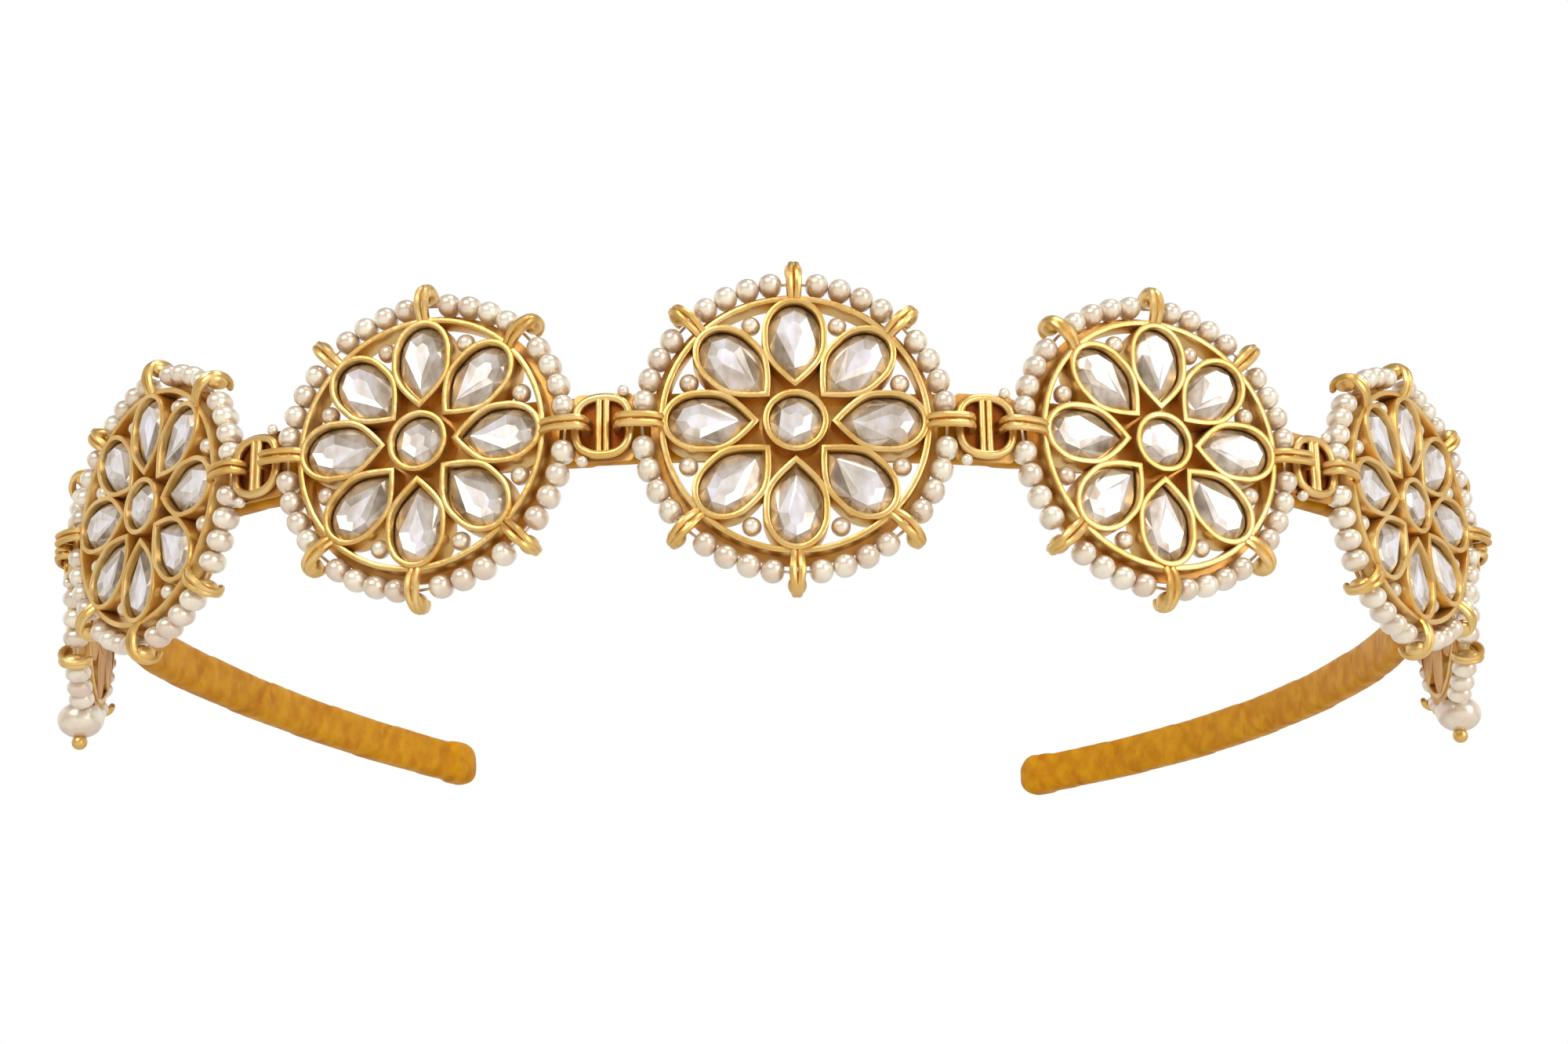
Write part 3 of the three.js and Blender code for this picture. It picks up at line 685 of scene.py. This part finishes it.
def stone(girdle, table, keel, back, girdle_depth, table_depth, seed):
    """A stone from its outlines, with a tone kept on each face.

    The back facets that show through the table are cut into it, down to a small keel face.
    """
    shape = bmesh.new()
    tones = shape.faces.layers.float.new("facet")
    base = face_from(shape, girdle, back)
    raised = bmesh.ops.extrude_face_region(shape, geom=[base])["geom"]
    top = next(item for item in raised if isinstance(item, bmesh.types.BMFace))
    bmesh.ops.translate(shape, verts=top.verts, vec=(0, 0, girdle_depth - back))
    rim = list(top.edges)
    bmesh.ops.delete(shape, geom=[top], context="FACES_ONLY")
    flat = face_from(shape, table, table_depth)
    edge = list(flat.edges)
    bmesh.ops.delete(shape, geom=[flat], context="FACES_ONLY")
    bmesh.ops.bridge_loops(shape, edges=rim + edge)
    bottom = face_from(shape, keel, table_depth - KEEL_DIP)
    bmesh.ops.bridge_loops(shape, edges=edge + list(bottom.edges))
    bmesh.ops.recalc_face_normals(shape, faces=shape.faces)
    draw = random.Random(seed)
    for face in shape.faces:
        lowest = min(vert.co.z for vert in face.verts)
        inner = all(vert.co.z > girdle_depth + SAME_DEPTH for vert in face.verts)
        sunk = abs(lowest - (table_depth - KEEL_DIP)) < SAME_DEPTH
        flat = inner and sunk and face.normal.z > LEVEL
        # The crown facets draw dark tones as painted shade, and the keel face bright ones as a painted
        # highlight.
        face[tones] = draw.uniform(*(KEEL_HIGHLIGHT_TONES if flat else TABLE_TONES if inner else CROWN_SHADE_TONES))
        face.smooth = False
    return shape


def petal_stone(seed):
    girdle = petal_outline(PETAL_WALL + STONE_SLACK, GIRDLE_STEPS)
    table = petal_outline(PETAL_WALL + STONE_SLACK + CROWN_WIDTH, TABLE_STEPS)
    keel = petal_outline(PETAL_WALL + STONE_SLACK + CROWN_WIDTH + KEEL_WIDTH, TABLE_STEPS)
    return stone(girdle, table, keel, STONE_BACK, GIRDLE_DEPTH, TABLE_DEPTH, seed)


def centre_stone(seed):
    radius = CUP_RADIUS - PETAL_WALL - STONE_SLACK
    girdle = circle_outline(radius, CENTRE_STEPS)
    table = circle_outline(radius * CENTRE_TABLE_SHARE, CENTRE_FACETS, CENTRE_TURN)
    keel = circle_outline(radius * CENTRE_KEEL_SHARE, CENTRE_FACETS, CENTRE_TURN)
    back = CENTRE_GIRDLE - CENTRE_BODY
    return stone(girdle, table, keel, back, CENTRE_GIRDLE, CENTRE_TABLE, seed)


glass = glass_material()
for order, place in enumerate(PLACES):
    piece_from(centre_stone(order), "cut_centre_stone_" + place, glass,
               ["centre_stone_" + place], sharp_angle=1, seat=seats[place])
    shared = bmesh.new()
    shared.faces.layers.float.new("facet")
    for petal in range(PETALS):
        seed = PETAL_SEED + SEEDS_PER_PLACE * order + petal
        one = turned(petal_stone(seed), TURN * petal / PETALS)
        if place in APART:
            node = f"petal_stone_{place}_{petal + 1}"
            piece_from(one, "cut_" + node, glass, [node], sharp_angle=1, seat=seats[place])
        else:
            join(shared, one)
    if place in APART:
        shared.free()
    else:
        piece_from(shared, "cut_petal_stones_" + place, glass, sharp_angle=1,
                   seat=seats[place])


# ---------------------------------------------------------------- the pearls
# Seed pearls of coated glass, strung on one thread round the ring under the prongs, and one
# more pearl in each gap between two petals and the ring.

STRING_RADIUS = 13.05
SEED_PEARL = 1.02
SEED_DEPTH = 1.25
BEAD_FULLNESS = 0.85
PEARLS_PER_SIDE = 4
THREAD = 0.13
GAP_RADIUS = 9.8
GAP_PEARL = 0.84
GAP_DEPTH = -0.5
CREAM_LIGHT = (0.84, 0.76, 0.61)
CREAM_DEEP = (0.72, 0.58, 0.45)
CREAM_SPOTS = (0.56, 0.48, 0.38)


def pearl_material():
    """Cream pearl coating: soft lustre, slightly pink and grey from pearl to pearl."""
    lustre = Shader("pearl_coating", Metallic=0.6, Coat_Weight=0.6, Coat_Roughness=0.2,
                    Subsurface_Weight=0.05, Subsurface_Scale=0.0006)
    tone = lustre.noise(lustre.place(), scale=330.0)
    fine = lustre.noise(lustre.place(), scale=2600.0)
    cream = lustre.mix(tone.between(0.35, 0.65), CREAM_DEEP, CREAM_LIGHT)
    lustre.set("Base Color", lustre.mix(fine.between(0.55, 0.8) * 0.08, cream, CREAM_SPOTS))
    lustre.set("Roughness", 0.28 + fine * 0.05)
    return lustre.material


def bead(shape, spot, radius, segments=20, rings=12, depth=1.0):
    """A bead, deepened along the medallion's axis by a share.  The thread runs round the axis.

    A deepened bead keeps its full width over more of its length, as a pressed bead does.
    """
    heading = math.atan2(spot.y, spot.x)
    stance = Matrix.Translation(spot) @ Matrix.Rotation(heading, 4, "Z")
    made = bmesh.ops.create_uvsphere(shape, u_segments=segments, v_segments=rings, radius=1,
                                     matrix=Matrix.Rotation(TURN / 4, 4, "X"))
    for vert in made["verts"]:
        across = math.hypot(vert.co.x, vert.co.z)
        if depth > 1 and across > 0:
            fuller = across ** BEAD_FULLNESS / across
            vert.co.x *= fuller
            vert.co.z *= fuller
        vert.co.z *= depth
        vert.co = stance @ (vert.co * radius)


def around(radius, angle, depth):
    """The place at a radius and an angle about the medallion's axis."""
    return Vector((radius * math.cos(angle), radius * math.sin(angle), depth))


def pearl_string(place):
    shape = bmesh.new()
    slots = PETALS * (PEARLS_PER_SIDE + 1)
    start = TURN * DROP_TURN / PETALS
    open_foot = place in END_HOOKS
    ends = 1 if open_foot else 0
    round_path = []
    for slot in range(slots + 1):
        spot = around(STRING_RADIUS, start + TURN * slot / slots, STRING_DEPTH)
        if ends < slot < slots - ends or not open_foot:
            round_path.append(spot)
        if slot % (PEARLS_PER_SIDE + 1) and ends < slot < slots - ends:
            bead(shape, spot, SEED_PEARL, depth=SEED_DEPTH)
    thread_path = round_path if open_foot else round_path[:-1]
    wire(shape, thread_path, THREAD, closed=not open_foot, roundness=0)
    return shape


def gap_pearls():
    shape = bmesh.new()
    for petal in range(PETALS):
        bead(shape, around(GAP_RADIUS, TURN * (petal + 0.5) / PETALS, GAP_DEPTH), GAP_PEARL)
    return shape


pearl = pearl_material()
for place in PLACES:
    piece_from(pearl_string(place), "seed_pearls_" + place, pearl, ["pearls_" + place],
               sharp_angle=80, seat=seats[place])
    piece_from(gap_pearls(), "gap_pearls_" + place, pearl, sharp_angle=80, seat=seats[place])


# ---------------------------------------------------------------- the drops
# A large pearl under each end medallion, on a wire pin soldered to the ring.  The pin ends in
# a small ball that holds the pearl up.

DROP_CENTRE = 13.65
DROP_RADIUS = 2.35
DROP_HALF_HEIGHT = 1.95
PIN_RADIUS = 0.25
PIN_OVERLAP = 0.1
PIN_BALL = 0.8
PIN_BALL_SHARE = 0.6  # of the ball's radius, between the pearl's foot and the ball's centre


def drop_pin():
    shape = bmesh.new()
    foot = DROP_CENTRE + DROP_HALF_HEIGHT + PIN_BALL * PIN_BALL_SHARE
    wire(shape, [Vector((0, -RING_RADIUS + PIN_OVERLAP, 0)), Vector((0, -foot, 0))], PIN_RADIUS)
    bead(shape, Vector((0, -foot, 0)), PIN_BALL)
    return shape


def drop_pearl():
    shape = bmesh.new()
    bead(shape, Vector((0, -DROP_CENTRE, 0)), DROP_HALF_HEIGHT, segments=48, rings=28)
    widening = DROP_RADIUS / DROP_HALF_HEIGHT
    bmesh.ops.scale(shape, verts=shape.verts, vec=(widening, 1, widening))
    return shape


for place in END_HOOKS:
    piece_from(drop_pearl(), "large_pearl_" + place, pearl, ["drop_pearl_" + place],
               sharp_angle=80, seat=seats[place])
    piece_from(drop_pin(), "drop_pin_" + place, gold, sharp_angle=60, seat=seats[place])


# ---------------------------------------------------------------- the links
# Two D-shaped rings of thick wire stand back to back between two medallions, each caught by a
# hook, on a flat gilt plate whose darker gold is partly painted shade.  Inside the rings a dark
# sheet is painted shadow, for the shaded ribbon behind.  A seed pearl sits at one upper and one
# lower corner.

LINK_HALF_WIDTH = 2.74
LINK_HALF_HEIGHT = 2.98
LINK_WIRE = 0.4
LINK_DEPTH = -0.5
SHADOW_SHEET_DEPTH = -0.92
SHADOW_SHEET_THICKNESS = 0.1
LINK_BACKING = (2.62, 3.05, 0.12)  # half of its width, height and thickness
LINK_BACKING_DEPTH = -1.08
LINK_BACKING_ROUND = 0.5
LINK_BAR_PLACE = 0.33
LINK_BAR_WIRE = 0.32
LINK_SQUARENESS = (0.9, 0.62)  # across and up
LINK_STEPS = 40
HOOK_REACH = 15.14
CORNER_PEARL = 0.5
CORNER_PEARL_PLACE = (1.75, 3.1)


def link():
    shape = bmesh.new()
    wide = LINK_HALF_WIDTH - LINK_WIRE
    tall = LINK_HALF_HEIGHT - LINK_WIRE
    oval = []
    for step in range(LINK_STEPS):
        angle = TURN * step / LINK_STEPS
        across = wide * squared(math.cos(angle), LINK_SQUARENESS[0])
        rise = tall * squared(math.sin(angle), LINK_SQUARENESS[1])
        oval.append(Vector((across, rise, LINK_DEPTH)))
    wire(shape, oval, LINK_WIRE, closed=True)
    for side in (-LINK_BAR_PLACE, LINK_BAR_PLACE):
        wire(shape, [Vector((side, -tall, LINK_DEPTH)), Vector((side, tall, LINK_DEPTH))], LINK_BAR_WIRE)
    return shape


# A dark sheet inside the rings: painted shadow of the ribbon behind.
def painted_shadow_sheet():
    shape = bmesh.new()
    stance = Matrix.Translation((0, 0, SHADOW_SHEET_DEPTH)) @ Matrix.Diagonal(
        (LINK_HALF_WIDTH - LINK_WIRE, LINK_HALF_HEIGHT - LINK_WIRE, 1, 1))
    bmesh.ops.create_cone(shape, cap_ends=True, segments=LINK_STEPS, radius1=1, radius2=1,
                          depth=SHADOW_SHEET_THICKNESS, matrix=stance)
    return shape


def link_backing():
    shape = bmesh.new()
    stance = Matrix.Translation((0, 0, LINK_BACKING_DEPTH)) @ Matrix.Diagonal((*LINK_BACKING, 1))
    bmesh.ops.create_cube(shape, size=2, matrix=stance)
    shape.normal_update()
    upright = [edge for edge in shape.edges
               if abs(edge.verts[0].co.z - edge.verts[1].co.z) > LINK_BACKING[2]]
    bmesh.ops.bevel(shape, geom=upright, offset=LINK_BACKING_ROUND, segments=3, profile=0.5, affect="EDGES",
                    material=-1)
    return shape


def corner_pearls():
    shape = bmesh.new()
    along, rise = CORNER_PEARL_PLACE
    for side in (-1, 1):
        bead(shape, Vector((side * along, side * rise, LINK_DEPTH)), CORNER_PEARL, segments=12, rings=8)
    return shape


for gap in range(len(PLACES) - 1):
    left, right = (seats[place] for place in PLACES[gap:gap + 2])
    left_hook = left @ Vector((HOOK_REACH, 0, 0))
    right_hook = right @ Vector((-HOOK_REACH, 0, 0))
    along = ((left.to_3x3() + right.to_3x3()) @ Vector((1, 0, 0))).normalized()
    up = (left.to_3x3() @ Vector((0, 0, 1)) + right.to_3x3() @ Vector((0, 0, 1))).cross(along).normalized()
    seat = Matrix((along, up, along.cross(up))).transposed().to_4x4()
    seat.translation = (left_hook + right_hook) / 2
    piece_from(link(), f"gold_link_{gap + 1}", gold, [f"link_{gap + 1}"],
               sharp_angle=60, seat=seat)
    piece_from(painted_shadow_sheet(), f"painted_shadow_sheet_{gap + 1}", painted_shadow_gold, seat=seat)
    piece_from(link_backing(), f"link_backing_{gap + 1}", unpolished_gold_painted_shade, seat=seat)
    piece_from(corner_pearls(), f"corner_pearls_{gap + 1}", pearl, sharp_angle=80, seat=seat)


# ---------------------------------------------------------------- the studio
# A pale floor well below the piece, which is held up as a head holds it, and a white studio
# with soft lights.

FLOOR_DROP = 0.17
FLOOR_SIZE = 2.0
FLOOR_COLOUR = (0.86, 0.86, 0.86, 1)
CAMERA_PLACE = Vector((-6.6, -146.9, -60.7)) * MM
CAMERA_HEADING = math.radians(2.22)
CAMERA_RISE = math.radians(19.90)
CAMERA_ROLL = math.radians(-0.79)
CAMERA_LENS = 41.74
WALLS = (1.0, 1.0, 1.0)
CEILING = (0.38, 0.37, 0.36)
ROOM = (0.56, 0.53, 0.49)
WALL_FOOT = math.sin(math.radians(-6))
WALL_TOP = math.sin(math.radians(38))
WALL_FADE = 0.16
ROOM_START = 0.1
ROOM_END = -0.35
LIT_PLACE = Vector((0, 0.04, 0))
LIGHTS = (  # name, place, width and height, and power
    ("key_light", (-0.35, -0.75, 0.5), (0.45, 0.35), 4.2),
    ("fill_light", (0.6, -0.6, 0.15), (0.3, 0.5), 2.7),
    ("top_light", (0.2, -0.2, 0.8), (0.3, 0.3), 2.2),
)


def studio_floor():
    shape = bmesh.new()
    bmesh.ops.create_grid(shape, x_segments=1, y_segments=1, size=FLOOR_SIZE)
    bmesh.ops.translate(shape, verts=shape.verts, vec=(0, 0, cad_box[0][2] - FLOOR_DROP))
    mesh = bpy.data.meshes.new("studio_floor")
    shape.to_mesh(mesh)
    shape.free()
    paper = Shader("floor_paper", Roughness=0.9)
    paper.set("Base Color", FLOOR_COLOUR)
    mesh.materials.append(paper.material)
    floor = bpy.data.objects.new("studio_floor", mesh)
    bpy.context.scene.collection.objects.link(floor)


def studio_camera():
    lens = bpy.data.cameras.new("studio_camera")
    lens.lens = CAMERA_LENS
    lens.sensor_width = 36.0
    lens.sensor_fit = "HORIZONTAL"
    lens.clip_start = 0.005
    ahead = Vector((math.sin(CAMERA_HEADING) * math.cos(CAMERA_RISE),
                    math.cos(CAMERA_HEADING) * math.cos(CAMERA_RISE), math.sin(CAMERA_RISE)))
    level = ahead.cross(Vector((0, 0, 1))).normalized()
    above = level.cross(ahead)
    right = level * math.cos(CAMERA_ROLL) + above * math.sin(CAMERA_ROLL)
    up = above * math.cos(CAMERA_ROLL) - level * math.sin(CAMERA_ROLL)
    camera = bpy.data.objects.new("studio_camera", lens)
    camera.matrix_world = Matrix.LocRotScale(CAMERA_PLACE, Matrix((right, up, -ahead)).transposed(), None)
    bpy.context.scene.collection.objects.link(camera)
    bpy.context.scene.camera = camera


def soft_light(name, place, size, power):
    lamp = bpy.data.lights.new(name, "AREA")
    lamp.shape = "RECTANGLE"
    lamp.size, lamp.size_y = size
    lamp.energy = power
    light = bpy.data.objects.new(name, lamp)
    light.location = place
    light.rotation_euler = (LIT_PLACE - Vector(place)).to_track_quat("-Z", "Y").to_euler()
    bpy.context.scene.collection.objects.link(light)


def studio_air():
    """A white wall behind the piece, a dimmer room in front of it, and dim overhead and below."""
    world = bpy.data.worlds.new("studio_air")
    air = Shader("walls", world)
    way = air.node("TexCoord", output="Generated")
    rise = air.node("SeparateXYZ", {"Vector": way}, output="Z")
    depth = air.node("SeparateXYZ", {"Vector": way}, output="Y")
    above_foot = rise.between(WALL_FOOT - WALL_FADE, WALL_FOOT)
    walls = above_foot * (1 - rise.between(WALL_TOP, WALL_TOP + WALL_FADE))
    behind = depth.between(ROOM_END, ROOM_START)
    air.set("Color", air.mix(walls, CEILING, air.mix(behind, ROOM, WALLS)))
    bpy.context.scene.world = world


studio_floor()
studio_camera()
studio_air()
for light_row in LIGHTS:
    soft_light(*light_row)
bpy.context.scene.view_settings.view_transform = "Standard"
